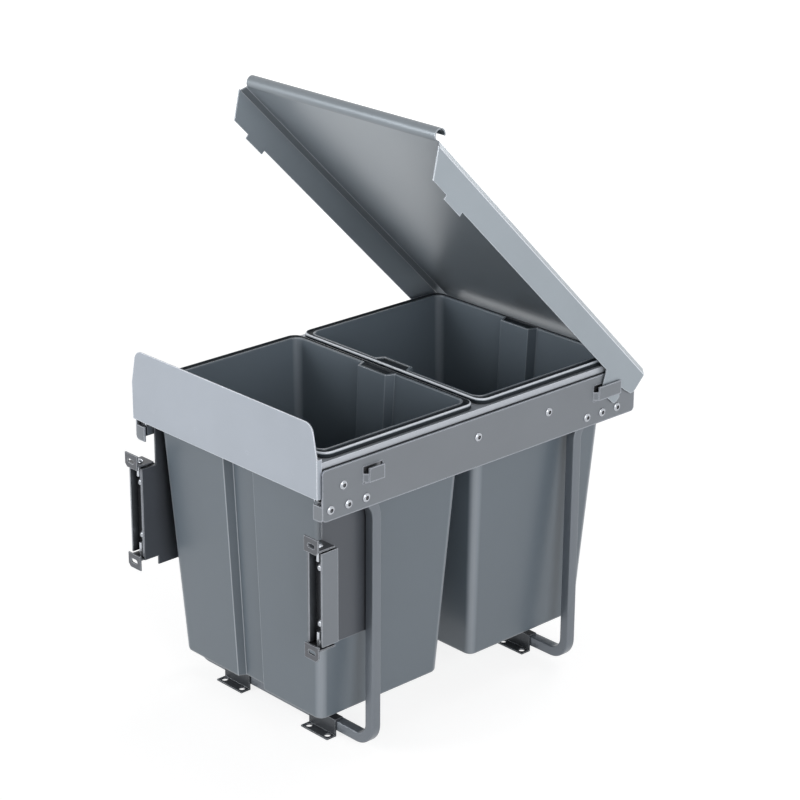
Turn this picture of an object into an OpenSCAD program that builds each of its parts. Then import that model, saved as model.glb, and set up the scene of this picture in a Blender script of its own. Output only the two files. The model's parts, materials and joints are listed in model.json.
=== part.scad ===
// Pull-out bin frame for a narrow base cabinet: a sliding carriage with two lift-out bins,
// two fixed side panels on bent tube legs, a hinged lid and two door brackets.
// Millimetres, +Z up. The front of the frame faces -Y and the hinge of the lid is at the back.
// Lengths along Y are written from the front face of the front plate, and place() then moves
// everything so that the origin lies under the middle of the whole object.

/* [Side panels] */
// Width over the outer faces of the two side panels
panel_span = 254; // [230:1:300]
// Thickness of a side panel
panel_t = 1.5; // [1:0.1:2.5]
// Height of a side panel
panel_h = 46.7; // [44:0.1:50]
// Distance from the front plate's face to the front end of a side panel
panel_y = 4.4; // [4:0.1:6]
// Length of a side panel
panel_len = 384.5; // [375:0.5:400]
// Corner radius of a side panel
panel_r = 4; // [1:0.5:8]
// Height of the inward lip at the front end of a side panel
front_lip_h = 14; // [8:0.5:15]
// Diameter of a rivet head
rivet_head_d = 8.4; // [7:0.1:11]
// Height of a rivet head
rivet_head_h = 1.6; // [1:0.1:1.8]
// Diameter of a rivet shank
rivet_d = 5; // [3:0.5:6]
// Spacing of the rivets in a row that holds a leg
rivet_pitch = 20; // [16:0.5:20]
// Distance from the front to the first rivet of the front leg
front_row_y = 13.3; // [13:0.1:14]
// Distance from the front to the first rivet of the rear leg
rear_row_y = 325.3; // [325:0.1:327]
// Distance from the front to the first rivet of a slide
slide_rivet_1 = 27.6; // [20:0.1:34]
// Distance from the front to the second rivet of a slide
slide_rivet_2 = 185.5; // [150:0.1:200]
// Distance from the front to the third rivet of a slide
slide_rivet_3 = 274.2; // [240:0.1:290]

/* [Straps of the side panels] */
// Height of a lanced strap
strap_h = 13; // [10:0.5:14]
// Height of the lower edge of the straps above the panel's lower edge
strap_up = 24; // [22:0.5:25]
// Gap that a strap leaves in front of the side panel
strap_gap = 2.6; // [2.4:0.1:4]
// Distance from the front to the root of the front strap
front_strap_y = 50; // [48:0.5:52]
// Length of the front strap
front_strap_len = 21; // [18:0.5:24]
// Distance from the root of the rear strap to the hinge
rear_strap_root = 26; // [25.5:0.5:27]
// Length of the rear strap
rear_strap_len = 33; // [31:0.5:34]
// Height of the slope that carries a strap outward
strap_ramp_h = 8; // [5:0.5:8]

/* [Legs] */
// Width of the square leg tube
tube = 10; // [8:0.5:10.5]
// Wall of the leg tube
tube_wall = 1; // [0.8:0.1:1.5]
// Radius inside the lower bends of a leg
bend_r = 12; // [8:0.5:16]
// Radius inside the upper bends of the front leg
front_bend_r = 19; // [8:0.5:19]
// Radius inside the upper bends of the rear leg
rear_bend_r = 15; // [8:0.5:15]
// Distance from the front to the front leg
front_leg_y = 62.3; // [60:0.1:66]
// Distance from the front to the rear leg
rear_leg_y = 310.4; // [305:0.1:314]
// Distance from the front to the front end of the front leg's upper run
front_run_y = 8; // [7:0.5:10]
// Distance from the front to the rear end of the rear leg's upper run
rear_run_y = 375; // [372:1:380]
// Gap between the floor and a leg's lower run
leg_lift = 5.5; // [3:0.1:8]

/* [Floor clips] */
// Thickness of a floor clip
clip_t = 1.5; // [1:0.1:2.5]
// Length of a floor clip
clip_len = 35.5; // [34:0.5:45]
// Depth of the foot of a floor clip, from its front edge to the leg
clip_foot = 11.3; // [10:0.1:16]
// Diameter of the screw holes in a floor clip
clip_hole_d = 5.8; // [3:0.1:6]
// Spacing of the two screw holes in a floor clip
clip_pitch = 25; // [18:0.5:26]
// Distance from the middle plane to the middle of a floor clip
clip_x = 59.9; // [45:0.1:75]

/* [Slides] */
// Height of a slide's fixed member
slide_h = 27; // [25:0.5:28]
// Height of the middle line of the slides above the panel's lower edge
slide_up = 28.4; // [28:0.1:29]
// Depth of a slide's fixed member, across the frame
slide_depth = 9.5; // [9:0.1:9.6]
// Thickness of the slide members
slide_t = 1.1; // [0.9:0.1:1.2]
// Length of each slide member
slide_len = 354; // [320:2:360]
// Travel of the carriage
travel = 350; // [200:5:350]
// Diameter of the balls
ball_d = 2.8; // [2.5:0.1:3]
// Running clearance around a ball
ball_clear = 0.05; // [0.02:0.01:0.08]
// Number of balls in one row
ball_count = 6; // [3:1:8]
// Length of a ball cage
cage_len = 160; // [120:5:170]

/* [Carriage] */
// Thickness of the carriage's sheet
rail_t = 1; // [0.8:0.1:1.2]
// Height of the top of the carriage rails above the middle line of the slides
rail_up = 24.6; // [22:0.1:26]
// Height of the web of a carriage rail
rail_h = 37; // [32:1:37]
// Height of the lip that a carriage rail turns down outside the slide
rail_lip = 8; // [3:0.5:9]
// Gap between the carriage rail's lip and the side panel
rail_gap = 1.5; // [0.8:0.1:2]
// Height of the webs of the crossbars
bar_h = 26; // [15:1:30]

/* [Front plate] */
// Gap between the front plate and a side panel's inner face
plate_gap = 0.5; // [0.3:0.1:2]
// Height of the front plate
plate_h = 66.6; // [60:0.1:70]
// Height of the lower edge of the front plate above the panel's lower edge
plate_up = 21.3; // [18:0.1:22]
// Thickness of the front plate
plate_t = 1.2; // [1:0.1:1.5]
// Radius of the front plate's upper corners
plate_r = 10; // [6:1:14]
// Height over which each side of the front plate leans inward, from its top down
plate_lean_h = 31; // [20:1:36]
// Distance that each side of the front plate leans inward
plate_lean = 4.5; // [1:0.5:8]
// Depth of the fold down the front plate's straight sides
plate_side = 5.6; // [4:0.1:7]

/* [Bins] */
// Gap between a bin's wall at its top and the carriage rail
bin_gap_x = 1.4; // [1.2:0.1:3]
// Width of the rim along the sides of a bin
rim_side = 7.5; // [5:0.5:8]
// Width of the rim along the front and back of a bin
rim_end = 4; // [3:0.5:5]
// Length over the rim of a bin
bin_l = 178; // [170:1:180]
// Height of a bin, with its rim. The frame stands as high as the bins need
bin_h = 266; // [200:1:300]
// Gap between the floor and the bottom of the bins
bin_floor = 34.3; // [32:0.1:60]
// Distance by which each side wall of a bin leans in toward the bottom
lean_side = 18.2; // [10:0.1:25]
// Distance by which the front and back walls of a bin lean in toward the bottom
lean_end = 13.5; // [6:0.1:20]
// Wall of a bin
bin_wall = 2; // [1.5:0.1:3]
// Height of the rim of a bin
rim_h = 5; // [4:0.5:6]
// Corner radius of a bin
bin_r = 8; // [6:1:20]
// Depth of the groove pressed into the front and back walls of a bin
groove_d = 7; // [3:0.5:10]
// Width of that groove where it is widest
groove_w = 36; // [20:1:50]
// Gap between the two rims
bin_gap = 5.3; // [3:0.1:8]
// Distance from the front to the front bin's rim
bin_y = 11; // [10:0.5:12]

/* [Lid] */
// Angle at which the lid stands open
lid_open = 45; // [30:1:60]
// Thickness of the lid's sheet
lid_t = 1.2; // [0.8:0.1:1.4]
// Running gap between a lid's flange and its side panel
lid_gap = 0.8; // [0.6:0.1:1]
// Distance from the front to the hinge of the lid
hinge_y = 359; // [358:0.5:361]
// Height of the lid's hinge above the panel's lower edge
hinge_up = 30.5; // [30:0.1:31]
// Diameter of a hinge stud
stud_d = 6; // [5:0.5:7]
// Running clearance around a hinge stud
stud_clear = 0.08; // [0.03:0.01:0.1]
// Distance from the hinge to the curl of the lid
lid_reach = 349.8; // [345:0.1:350]
// Distance from the hinge to the back edge of the lid
lid_rear = 26.8; // [24:0.1:28]
// Height of the lid's top above its hinge
lid_top = 35.9; // [35:0.1:38]
// Height of the edge between flange and shoulder above the hinge
shoulder_up = 30.4; // [28:0.1:32]
// Width of the sloping shoulder
shoulder_w = 5.5; // [4:0.5:12]
// Distance from the shoulder's upper edge to the end of the curl
curl_inset = 2.5; // [0:0.5:8]
// Height of the lower edge of the flanges above the hinge
flange_up = 6.3; // [6.2:0.1:8]
// Depth of the front tongue under the flange's lower edge
tongue_d = 4.3; // [2:0.1:4.3]
// Outer radius of the curl along the lid's front edge
curl_r = 6.3; // [5:0.1:7]
// Depth of the fold along the lid's back edge
lid_back = 10; // [6:0.5:12]

/* [Hangers and door brackets] */
// Thickness of the hanger, channel and door bracket
bracket_t = 1.5; // [1.2:0.1:1.6]
// Distance from the front to the hanger's front edge
hanger_y = 14.5; // [13:0.5:16]
// Length of the hanger
hanger_len = 51.5; // [40:0.5:60]
// Distance by which the hanger reaches below the channel
hanger_under = 11.5; // [8:0.5:20]
// Distance from the lower edge of the side panels down to the top of a channel
channel_drop = 24.5; // [20:0.5:40]
// Height of the channel
channel_h = 87; // [80:1:90]
// Width of the channel, from the hanger to its outer face
channel_w = 17.6; // [16:0.1:19]
// Depth of the channel
channel_d = 18.2; // [16:0.1:20]
// Distance by which the channel stands in front of the front plate's face
channel_out = 1.2; // [0.5:0.1:2]
// Distance by which the door bracket's ears stand in front of the front plate's face
ear_out = 5.7; // [5:0.1:8]
// Height of an ear
ear_h = 14; // [12:0.5:16]
// Length of the slot in an ear
slot_len = 9.2; // [7:0.1:11]
// Width of the slot in an ear
slot_w = 4; // [3:0.1:5]
// Height adjustment of a door bracket, each way
adjust = 1.5; // [0.5:0.1:2]
// Distance from the front plate's face to the door bracket's back
bracket_y = 6.5; // [5:0.1:8]
// Diameter of the bolts that clamp a door bracket
bolt_d = 5; // [4:0.5:6]
// Diameter of the heads of those bolts
bolt_head_d = 7.6; // [7:0.1:9]
// Distance between the two clamping bolts
bolt_pitch = 52; // [40:1:60]
// Diameter of an adjusting screw
screw_d = 4; // [3:0.5:5]
// Length of an adjusting screw under its head
screw_len = 14; // [8:0.5:15]

/* [Hidden] */
$fn = 48;
LEFT = -1;
RIGHT = 1;
touch = 0.3;
cut = 1;

// Places across the frame, on the right side
panel_x = panel_span / 2;
panel_in = panel_x - panel_t;
slide_in = panel_in - slide_depth;
web_gap = 0.6;
rail_x = slide_in - web_gap;
rail_in = rail_x - rail_t;
rail_out = panel_in - rail_gap;
hanger_x = rail_in - bracket_t;
lid_x = panel_x + lid_gap + lid_t;
channel_x = rail_in + channel_w;

// Heights, which follow from the bins that hang in the rails
bin_z = bin_floor;
rail_z = bin_z + bin_h - rim_h - touch;
slide_z = rail_z - rail_up;
panel_z = slide_z - slide_up;
row_z = slide_z - slide_h / 2 - 0.4 - tube / 2;
hinge_z = panel_z + hinge_up;
strap_z = panel_z + strap_up;
plate_z = panel_z + plate_up;
channel_top = panel_z - channel_drop;
channel_z = channel_top - channel_h;
hanger_z = channel_z - hanger_under;
hanger_top = rail_z - 11;

// The slide's nested members: each C is smaller by a ball and its clearance
race = ball_d + 2 * ball_clear;
middle_h = slide_h - 2 * slide_t - 2 * race;
inner_h = middle_h - 2 * slide_t - 2 * race;
middle_x = slide_in + 0.2;
middle_depth = slide_depth - slide_t - 0.9;
inner_depth = middle_depth - slide_t - 1.1;
slide_y = front_run_y;
cage_y = slide_y + (slide_len - cage_len) / 2;
cage_t = 0.5;
cage_w = 4.4;

// Sizes of a bin
bin_top_w = 2 * (rail_in - bin_gap_x);
bin_top_l = bin_l - 2 * rim_end;
bin_w = bin_top_w + 2 * rim_side;
bin_base_w = bin_top_w - 2 * lean_side;
bin_base_l = bin_top_l - 2 * lean_end;
plate_w = 2 * (panel_in - plate_gap);

// Along the frame
rear_bin_y = bin_y + bin_l + bin_gap;
rail_end = rear_bin_y + bin_l + 4.7;
rear_strap_y = hinge_y - rear_strap_root;
slide_rivet_y = [slide_rivet_1, slide_rivet_2, slide_rivet_3];
y_front = -ear_out;
y_back = hinge_y + lid_rear * cos(lid_open) + lid_top * sin(lid_open);

module place() {
    translate([0, -(y_front + y_back) / 2, 0])
        children();
}

// A right-hand shape as it is, or its mirror image for the left side
module side(s) {
    if (s > 0)
        children();
    else
        mirror([1, 0, 0])
            children();
}

module both_sides() {
    side(RIGHT)
        children();
    side(LEFT)
        children();
}

// A flat shape drawn in Y and Z, made into a plate from x on
module along_x(x, length) {
    translate([x, 0, 0])
        rotate([90, 0, 90])
            linear_extrude(length)
                children();
}

// A flat shape drawn in X and Z, made into a bar from y on
module along_y(y, length) {
    translate([0, y + length, 0])
        rotate([90, 0, 0])
            linear_extrude(length)
                children();
}

// A flat shape drawn in X and Y, made into a plate from z up
module along_z(z, length) {
    translate([0, 0, z])
        linear_extrude(length)
            children();
}

module box(x, y, z, size) {
    translate([x, y, z])
        cube(size);
}

module rod_x(x, y, z, length, d) {
    translate([x, y, z])
        rotate([0, 90, 0])
            cylinder(h = length, d = d);
}

module rod_y(x, y, z, length, d) {
    translate([x, y, z])
        rotate([-90, 0, 0])
            cylinder(h = length, d = d);
}

// A rectangle with true round corners
module round_rect(w, h, r) {
    translate([r, 0])
        square([w - 2 * r, h]);
    translate([0, r])
        square([w, h - 2 * r]);
    for (x = [r, w - r])
        for (y = [r, h - r])
            translate([x, y])
                circle(r);
}

// A low domed head with its flat side at the origin, rising along +Z
module dome_head(d, h) {
    rim = h * 0.35;
    cylinder(h = rim, d = d);
    translate([0, 0, rim])
        cylinder(h = h - rim, d1 = d, d2 = d * 0.55);
}

// Side panels, each held to its legs and its slide by rivets
leg_rivet_y = concat(
    [for (i = [0:2]) front_row_y + i * rivet_pitch],
    [for (i = [0:2]) rear_row_y + i * rivet_pitch]
);

// A strap is cut free of the panel on three sides and stands off it behind a slope
module strap_slope(y) {
    out = strap_gap + panel_t;
    along_z(strap_z, strap_ramp_h)
        polygon([
            [panel_in, y - cut],
            [panel_x, y - cut],
            [panel_x, y],
            [panel_x + out, y + out],
            [panel_x + strap_gap, y + out],
            [panel_in, y + 0.5],
        ]);
}

module strap_window(y, length) {
    box(panel_in - cut, y, strap_z - 1, [panel_t + 2 * cut, length + 1, strap_h + 2]);
}

module strap(y, length) {
    flat_y = y + strap_gap + panel_t;
    strap_slope(y);
    box(panel_x + strap_gap, flat_y - 0.6, strap_z, [panel_t, 0.6 + length - (flat_y - y), strap_h]);
}

module front_lip() {
    lip_in = rail_in + 0.5;
    along_y(panel_y, panel_t)
        difference() {
            translate([lip_in, panel_z])
                square([panel_x - lip_in, front_lip_h]);
            translate([panel_x - panel_r, panel_z])
                difference() {
                    translate([0, -cut])
                        square([panel_r + cut, panel_r + cut]);
                    translate([0, panel_r])
                        circle(panel_r);
                }
        }
}

// The upper rear corner is cut away to clear the lid's shoulder as the lid turns
module rear_corner() {
    top = panel_z + panel_h;
    rear = panel_y + panel_len;
    reach = shoulder_low - 0.3;
    from = hinge_y + sqrt(pow(reach, 2) - pow(top - hinge_z, 2));
    along_x(panel_in - cut, panel_t + 2 * cut)
        polygon([
            [from, top + cut],
            [rear + cut, top + cut],
            [rear + cut, hinge_z + 1],
        ]);
}

module side_panel(s) {
    color([0.49, 0.50, 0.52])
        side(s) {
            difference() {
                along_x(panel_in, panel_t)
                    translate([panel_y, panel_z])
                        round_rect(panel_len, panel_h, panel_r);
                rear_corner();
                strap_window(front_strap_y, front_strap_len);
                strap_window(rear_strap_y, rear_strap_len);
                for (y = leg_rivet_y)
                    rod_x(panel_in - cut, y, row_z, panel_t + 2 * cut, rivet_d);
                for (y = slide_rivet_y)
                    rod_x(panel_in - cut, y, slide_z, panel_t + 2 * cut, rivet_d);
            }
            strap(front_strap_y, front_strap_len);
            strap(rear_strap_y, rear_strap_len);
            front_lip();
        }
}

module rivet(y, z, grip) {
    rod_x(panel_x - grip, y, z, grip, rivet_d);
    translate([panel_x, y, z])
        rotate([0, 90, 0])
            dome_head(rivet_head_d, rivet_head_h);
}

module leg_rivets() {
    color([0.85, 0.86, 0.88])
        both_sides()
            for (y = leg_rivet_y)
                rivet(y, row_z, panel_t + tube_wall);
}

module slide_rivets() {
    color([0.85, 0.86, 0.88])
        both_sides()
            for (y = slide_rivet_y)
                rivet(y, slide_z, panel_t + slide_t);
}

// Legs: one square tube each, bent four times
module bend(size, turn, inner_r) {
    rotate([0, 0, turn])
        rotate_extrude(angle = 90)
            translate([inner_r + tube / 2, 0])
                square(size, center = true);
}

module leg_half(y, toward, run_end, size, over) {
    half = tube / 2;
    middle_r = bend_r + half;
    upper_r = toward > 0 ? rear_bend_r : front_bend_r;
    centre_x = panel_in - half;
    centre_y = y + half;
    top_y = centre_y + toward * (upper_r + half);
    top_z = row_z - upper_r - half;
    foot_z = leg_lift + half + middle_r;
    run = abs(run_end - top_y) + over;
    run_start = toward > 0 ? top_y : top_y - run;
    translate([centre_x, run_start + run / 2, row_z])
        cube([size, run, size], center = true);
    translate([centre_x, top_y, top_z])
        rotate([90, 0, 90])
            bend(size, toward > 0 ? 90 : 0, upper_r);
    translate([centre_x, centre_y, (foot_z + top_z) / 2])
        cube([size, size, top_z - foot_z], center = true);
    translate([centre_x - middle_r, centre_y, foot_z])
        rotate([90, 0, 0])
            bend(size, -90, bend_r);
}

module leg_foot(y, size) {
    half = tube / 2;
    reach = panel_in - half - bend_r - half;
    translate([0, y + half, leg_lift + half])
        cube([2 * reach, size, size], center = true);
}

module leg(y, toward, run_end) {
    color([0.44, 0.45, 0.47])
        difference() {
            union() {
                both_sides()
                    leg_half(y, toward, run_end, tube, 0);
                leg_foot(y, tube);
            }
            both_sides()
                leg_half(y, toward, run_end, tube - 2 * tube_wall, cut);
            leg_foot(y, tube - 2 * tube_wall);
            both_sides()
                for (ry = leg_rivet_y)
                    rod_x(panel_in - tube_wall - cut, ry, row_z, tube_wall + 2 * cut, rivet_d);
        }
}

// Floor clips: a foot on the floor, a web up the leg and a flange over it
module floor_clip(s, leg_y) {
    top = leg_lift + tube;
    x = clip_x - clip_len / 2;
    color([0.30, 0.31, 0.33])
        side(s)
            difference() {
                union() {
                    box(x, leg_y - clip_foot, 0, [clip_len, clip_foot, clip_t]);
                    box(x, leg_y - clip_t, 0, [clip_len, clip_t, top + clip_t]);
                    box(x, leg_y - clip_t, top, [clip_len, clip_t + tube * 0.8, clip_t]);
                }
                for (d = [-clip_pitch / 2, clip_pitch / 2])
                    translate([clip_x + d, leg_y - clip_foot / 2 - clip_t / 4, -cut])
                        cylinder(h = clip_t + 2 * cut, d = clip_hole_d);
            }
}

// Slides: a fixed member, a middle member and an inner member, each a C in section
module c_section(x, h, depth, web_outside) {
    z = slide_z - h / 2;
    difference() {
        translate([x, z])
            square([depth, h]);
        translate([web_outside ? x - cut : x + slide_t, z + slide_t])
            square([depth - slide_t + cut, h - 2 * slide_t]);
    }
}

module slide_member(x, h, depth, web_outside) {
    along_y(slide_y, slide_len)
        c_section(x, h, depth, web_outside);
}

module slide_fixed(s) {
    color([0.62, 0.64, 0.66])
        side(s)
            difference() {
                slide_member(slide_in, slide_h, slide_depth, true);
                for (y = slide_rivet_y)
                    rod_x(panel_in - slide_t - cut, y, slide_z, slide_t + 2 * cut, rivet_d);
            }
}

module slide_middle(s) {
    color([0.66, 0.68, 0.70])
        side(s)
            slide_member(middle_x, middle_h, middle_depth, true);
}

carriage_rivet_y = [80, 200, 330];
carriage_rivet_d = 4;

module slide_inner(s) {
    color([0.70, 0.72, 0.74])
        side(s)
            difference() {
                slide_member(rail_x, inner_h, inner_depth, false);
                for (y = carriage_rivet_y)
                    rod_x(rail_x - cut, y, slide_z, slide_t + 2 * cut, carriage_rivet_d);
            }
}

// Balls run between the flanges of two members, above and below
ball_x = middle_x + middle_depth / 2 - 0.6;

function ball_y(i) = cage_y + cage_len * (i + 0.5) / ball_count;

module ball_rows(h) {
    both_sides()
        for (up = [-1, 1])
            for (i = [0:ball_count - 1])
                translate([ball_x, ball_y(i), slide_z + up * (h + race) / 2])
                    sphere(d = ball_d);
}

module cage_strips(h) {
    both_sides()
        for (up = [-1, 1])
            difference() {
                translate([ball_x - cage_w / 2, cage_y, slide_z + up * (h + race) / 2 - cage_t / 2])
                    cube([cage_w, cage_len, cage_t]);
                for (i = [0:ball_count - 1])
                    translate([ball_x, ball_y(i), slide_z + up * (h + race) / 2 - cage_t])
                        cylinder(h = 2 * cage_t, d = ball_d + 0.1);
            }
}

module outer_balls() {
    color([0.9, 0.9, 0.92])
        ball_rows(middle_h);
}

module outer_ball_cages() {
    color([0.75, 0.72, 0.6])
        cage_strips(middle_h);
}

module inner_balls() {
    color([0.9, 0.9, 0.92])
        ball_rows(inner_h);
}

module inner_ball_cages() {
    color([0.75, 0.72, 0.6])
        cage_strips(inner_h);
}

// Carriage rails: a web beside the slide, a top over it and a lip down outside it
rail_start = plate_side + touch;
hanger_rivet_y = [hanger_y + 8, hanger_y + hanger_len - 12];
hanger_rivet_z = hanger_top - 4;

module rail_section() {
    translate([rail_in, rail_z - rail_h])
        square([rail_t, rail_h]);
    translate([rail_in, rail_z - rail_t])
        square([rail_out - rail_in, rail_t]);
    translate([rail_out - rail_t, rail_z - rail_lip])
        square([rail_t, rail_lip]);
}

module carriage_rail(s) {
    color([0.65, 0.68, 0.71])
        side(s)
            difference() {
                along_y(rail_start, rail_end - rail_start)
                    rail_section();
                for (y = carriage_rivet_y)
                    rod_x(rail_in - cut, y, slide_z, rail_t + 2 * cut, carriage_rivet_d);
                for (y = hanger_rivet_y)
                    rod_x(rail_in - cut, y, hanger_rivet_z, rail_t + 2 * cut, carriage_rivet_d);
            }
}

module carriage_rivets() {
    color([0.85, 0.86, 0.88])
        both_sides() {
            for (y = carriage_rivet_y) {
                rod_x(rail_in, y, slide_z, rail_t + slide_t, carriage_rivet_d);
                rod_x(rail_in - 0.8, y, slide_z, 0.8, 7);
            }
            for (y = hanger_rivet_y)
                rod_x(hanger_x, y, hanger_rivet_z, bracket_t + rail_t, carriage_rivet_d);
        }
}

// Crossbars tie the rails together under the rims of the bins
plate_screw_x = [-95, -35, 35, 95];
plate_screw_z = rail_z - 16;
plate_screw_d = 3.5;

module crossbar(y, web_y, width) {
    color([0.60, 0.63, 0.66]) {
        box(-rail_in, y, rail_z - rail_t, [2 * rail_in, width, rail_t]);
        box(-rail_in, web_y, rail_z - bar_h, [2 * rail_in, rail_t, bar_h]);
    }
}

module crossbar_front() {
    difference() {
        crossbar(plate_t, plate_t, bin_y + rim_end - 0.5 - plate_t);
        for (x = plate_screw_x)
            rod_y(x, plate_t - cut, plate_screw_z, rail_t + 2 * cut, plate_screw_d);
    }
}

module crossbar_middle() {
    width = bin_gap + 2 * rim_end - 1;
    y = bin_y + bin_l + bin_gap / 2 - width / 2;
    crossbar(y, y + (width - rail_t) / 2, width);
}

module crossbar_rear() {
    y = rear_bin_y + bin_l - rim_end + 0.5;
    crossbar(y, rail_end - rail_t, rail_end - y);
}

// Front plate: round upper corners, sides that lean in at the top and a fold back below that
plate_corner = [plate_w / 2 - plate_lean - plate_r, plate_h - plate_r];
plate_foot = [plate_w / 2, plate_h - plate_lean_h];
plate_span = plate_foot - plate_corner;
plate_turn = atan2(plate_span[1], plate_span[0]) + acos(plate_r / norm(plate_span));
plate_end = plate_corner + plate_r * [cos(plate_turn), sin(plate_turn)];

module plate_outline() {
    translate([0, plate_z]) {
        polygon([
            [-plate_w / 2, 0], [plate_w / 2, 0], plate_foot, plate_end, plate_corner,
            [plate_corner[0], plate_h], [-plate_corner[0], plate_h],
            [-plate_corner[0], plate_corner[1]], [-plate_end[0], plate_end[1]],
            [-plate_foot[0], plate_foot[1]],
        ]);
        for (s = [-1, 1])
            translate([s * plate_corner[0], plate_corner[1]])
                circle(plate_r);
    }
}

module front_plate() {
    color([0.68, 0.71, 0.75])
        difference() {
            union() {
                along_y(0, plate_t)
                    plate_outline();
                both_sides()
                    box(plate_w / 2 - plate_t, 0, plate_z, [plate_t, plate_side, plate_h - plate_lean_h]);
            }
            for (x = plate_screw_x)
                rod_y(x, plate_t / 2, plate_screw_z, plate_t, plate_screw_d);
        }
}

module plate_screws() {
    color([0.80, 0.81, 0.83])
        for (x = plate_screw_x) {
            rod_y(x, plate_t / 2, plate_screw_z, plate_t / 2 + rail_t, plate_screw_d);
            translate([x, plate_t + rail_t, plate_screw_z])
                rotate([-90, 0, 0])
                    dome_head(7, 2);
        }
}

// Hangers: a plate down each side of the bins with a wing that carries a channel
module hanger_outline() {
    translate([hanger_y, hanger_z])
        square([hanger_len, hanger_top - hanger_z]);
    translate([-channel_out, channel_z - 3])
        square([hanger_y + channel_out, channel_h + 3]);
}

module hanger(s) {
    color([0.36, 0.37, 0.39])
        side(s)
            difference() {
                along_x(hanger_x, bracket_t)
                    hanger_outline();
                for (y = hanger_rivet_y)
                    rod_x(hanger_x - cut, y, hanger_rivet_z, bracket_t + 2 * cut, carriage_rivet_d);
            }
}

// Channels: open to the front, with the bolts of the door bracket through their backs
channel_back = channel_d - channel_out - bracket_t;
bolt_x = rail_in + channel_w / 2;
bolt_z = [channel_z + (channel_h - bolt_pitch) / 2, channel_z + (channel_h + bolt_pitch) / 2];

module channel(s) {
    color([0.50, 0.51, 0.53])
        side(s)
            difference() {
                box(rail_in, -channel_out, channel_z, [channel_w, channel_d, channel_h]);
                box(rail_in + bracket_t, -channel_out - cut, channel_z - cut,
                    [channel_w - 2 * bracket_t, channel_d - bracket_t + cut, channel_h + 2 * cut]);
                for (z = bolt_z)
                    rod_y(bolt_x, channel_back - cut, z, bracket_t + 2 * cut, bolt_d);
            }
}

// Each bolt has a head, a collar that spaces the bracket off the channel and a nut behind it
bolt_head_h = 3;
nut_h = 4;

module bracket_bolt(x, z) {
    under_head = bracket_y - touch;
    collar_y = bracket_y + bracket_t + touch;
    rod_y(x, under_head, z, channel_back + bracket_t + nut_h + 1 - under_head, bolt_d);
    rod_y(x, collar_y, z, channel_back - collar_y, bolt_head_d);
    translate([x, under_head, z])
        rotate([90, 0, 0])
            dome_head(bolt_head_d, bolt_head_h);
}

module bracket_bolts() {
    color([0.85, 0.86, 0.88])
        both_sides()
            for (z = bolt_z)
                bracket_bolt(bolt_x, z);
}

module hex_nut(across, h, bore) {
    r = across / 2 / cos(30);
    difference() {
        linear_extrude(h)
            polygon([for (i = [0:5]) [r * cos(60 * i), r * sin(60 * i)]]);
        translate([0, 0, -cut])
            cylinder(h = h + 2 * cut, d = bore);
    }
}

module bracket_nuts() {
    color([0.75, 0.76, 0.78])
        both_sides()
            for (z = bolt_z)
                translate([bolt_x, channel_back + bracket_t, z])
                    rotate([-90, 0, 0])
                        hex_nut(8, nut_h, bolt_d);
}

// Door brackets: a back plate in the channel, a plate over each end and two slotted ears
ear_x = rail_in - 0.1;
ear_w = channel_w + 0.1;
ear_over = 4.2;
ear_cut = 3;
slot_up = 6.9;
slot_x = bolt_x + 0.3;
screw_x = bolt_x;
screw_y = 3;
end_gap = adjust + touch;
bracket_top = channel_top + end_gap + bracket_t;
bracket_low = channel_z - end_gap - bracket_t;

module slot(length, width) {
    translate([-(length - width) / 2, -width / 2])
        square([length - width, width]);
    for (x = [-(length - width) / 2, (length - width) / 2])
        translate([x, 0])
            circle(d = width);
}

// An ear drawn from its lower inboard corner, with its slot at the height given
module ear(z, slot_z) {
    along_y(-ear_out, bracket_t)
        difference() {
            translate([ear_x, z])
                polygon([
                    [0, 0], [ear_w - ear_cut, 0], [ear_w, ear_cut],
                    [ear_w, ear_h], [0, ear_h],
                ]);
            translate([slot_x, slot_z])
                slot(slot_len, slot_w);
        }
}

module bracket_back() {
    w = channel_w - 2 * bracket_t - 2 * touch;
    along_y(bracket_y, bracket_t)
        difference() {
            translate([bolt_x - w / 2, bracket_low])
                square([w, bracket_top - bracket_low]);
            for (z = bolt_z)
                translate([bolt_x, z])
                    rotate(90)
                        slot(bolt_d + 0.4 + 2 * adjust, bolt_d + 0.4);
        }
}

module door_bracket(s) {
    low_ear_z = bracket_low + ear_over - ear_h;
    top_ear_z = bracket_top - ear_over;
    color([0.42, 0.43, 0.45])
        side(s) {
            ear(top_ear_z, top_ear_z + slot_up);
            ear(low_ear_z, low_ear_z + ear_h - slot_up);
            bracket_back();
            for (z = [bracket_low, bracket_top - bracket_t])
                difference() {
                    box(rail_in + touch, -ear_out, z, [channel_w - touch, ear_out + 13.5, bracket_t]);
                    translate([screw_x, screw_y, z - cut])
                        cylinder(h = bracket_t + 2 * cut, d = screw_d);
                }
        }
}

module height_screw() {
    cylinder(h = screw_len, d = screw_d);
    translate([0, 0, screw_len])
        dome_head(8, 2.4);
}

module height_screws(s) {
    color([0.85, 0.86, 0.88])
        side(s) {
            translate([screw_x, screw_y, bracket_top - screw_len])
                height_screw();
            translate([screw_x, screw_y, bracket_low + screw_len])
                mirror([0, 0, 1])
                    height_screw();
        }
}

// Bins: a tapered tub with a groove down its front and back walls and a rim around its mouth
taper_x = bin_top_w / bin_base_w;
taper_y = bin_top_l / bin_base_l;

// The outline at the bottom of a bin, drawn smaller by the inset for the inside of its walls
module tub_outline(inset) {
    w = bin_base_w - 2 * inset;
    l = bin_base_l - 2 * inset;
    difference() {
        translate([-w / 2, -l / 2])
            round_rect(w, l, bin_r - inset);
        for (end = [0, 1])
            mirror([0, end])
                translate([0, -bin_base_l / 2])
                    groove(inset);
    }
}

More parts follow.
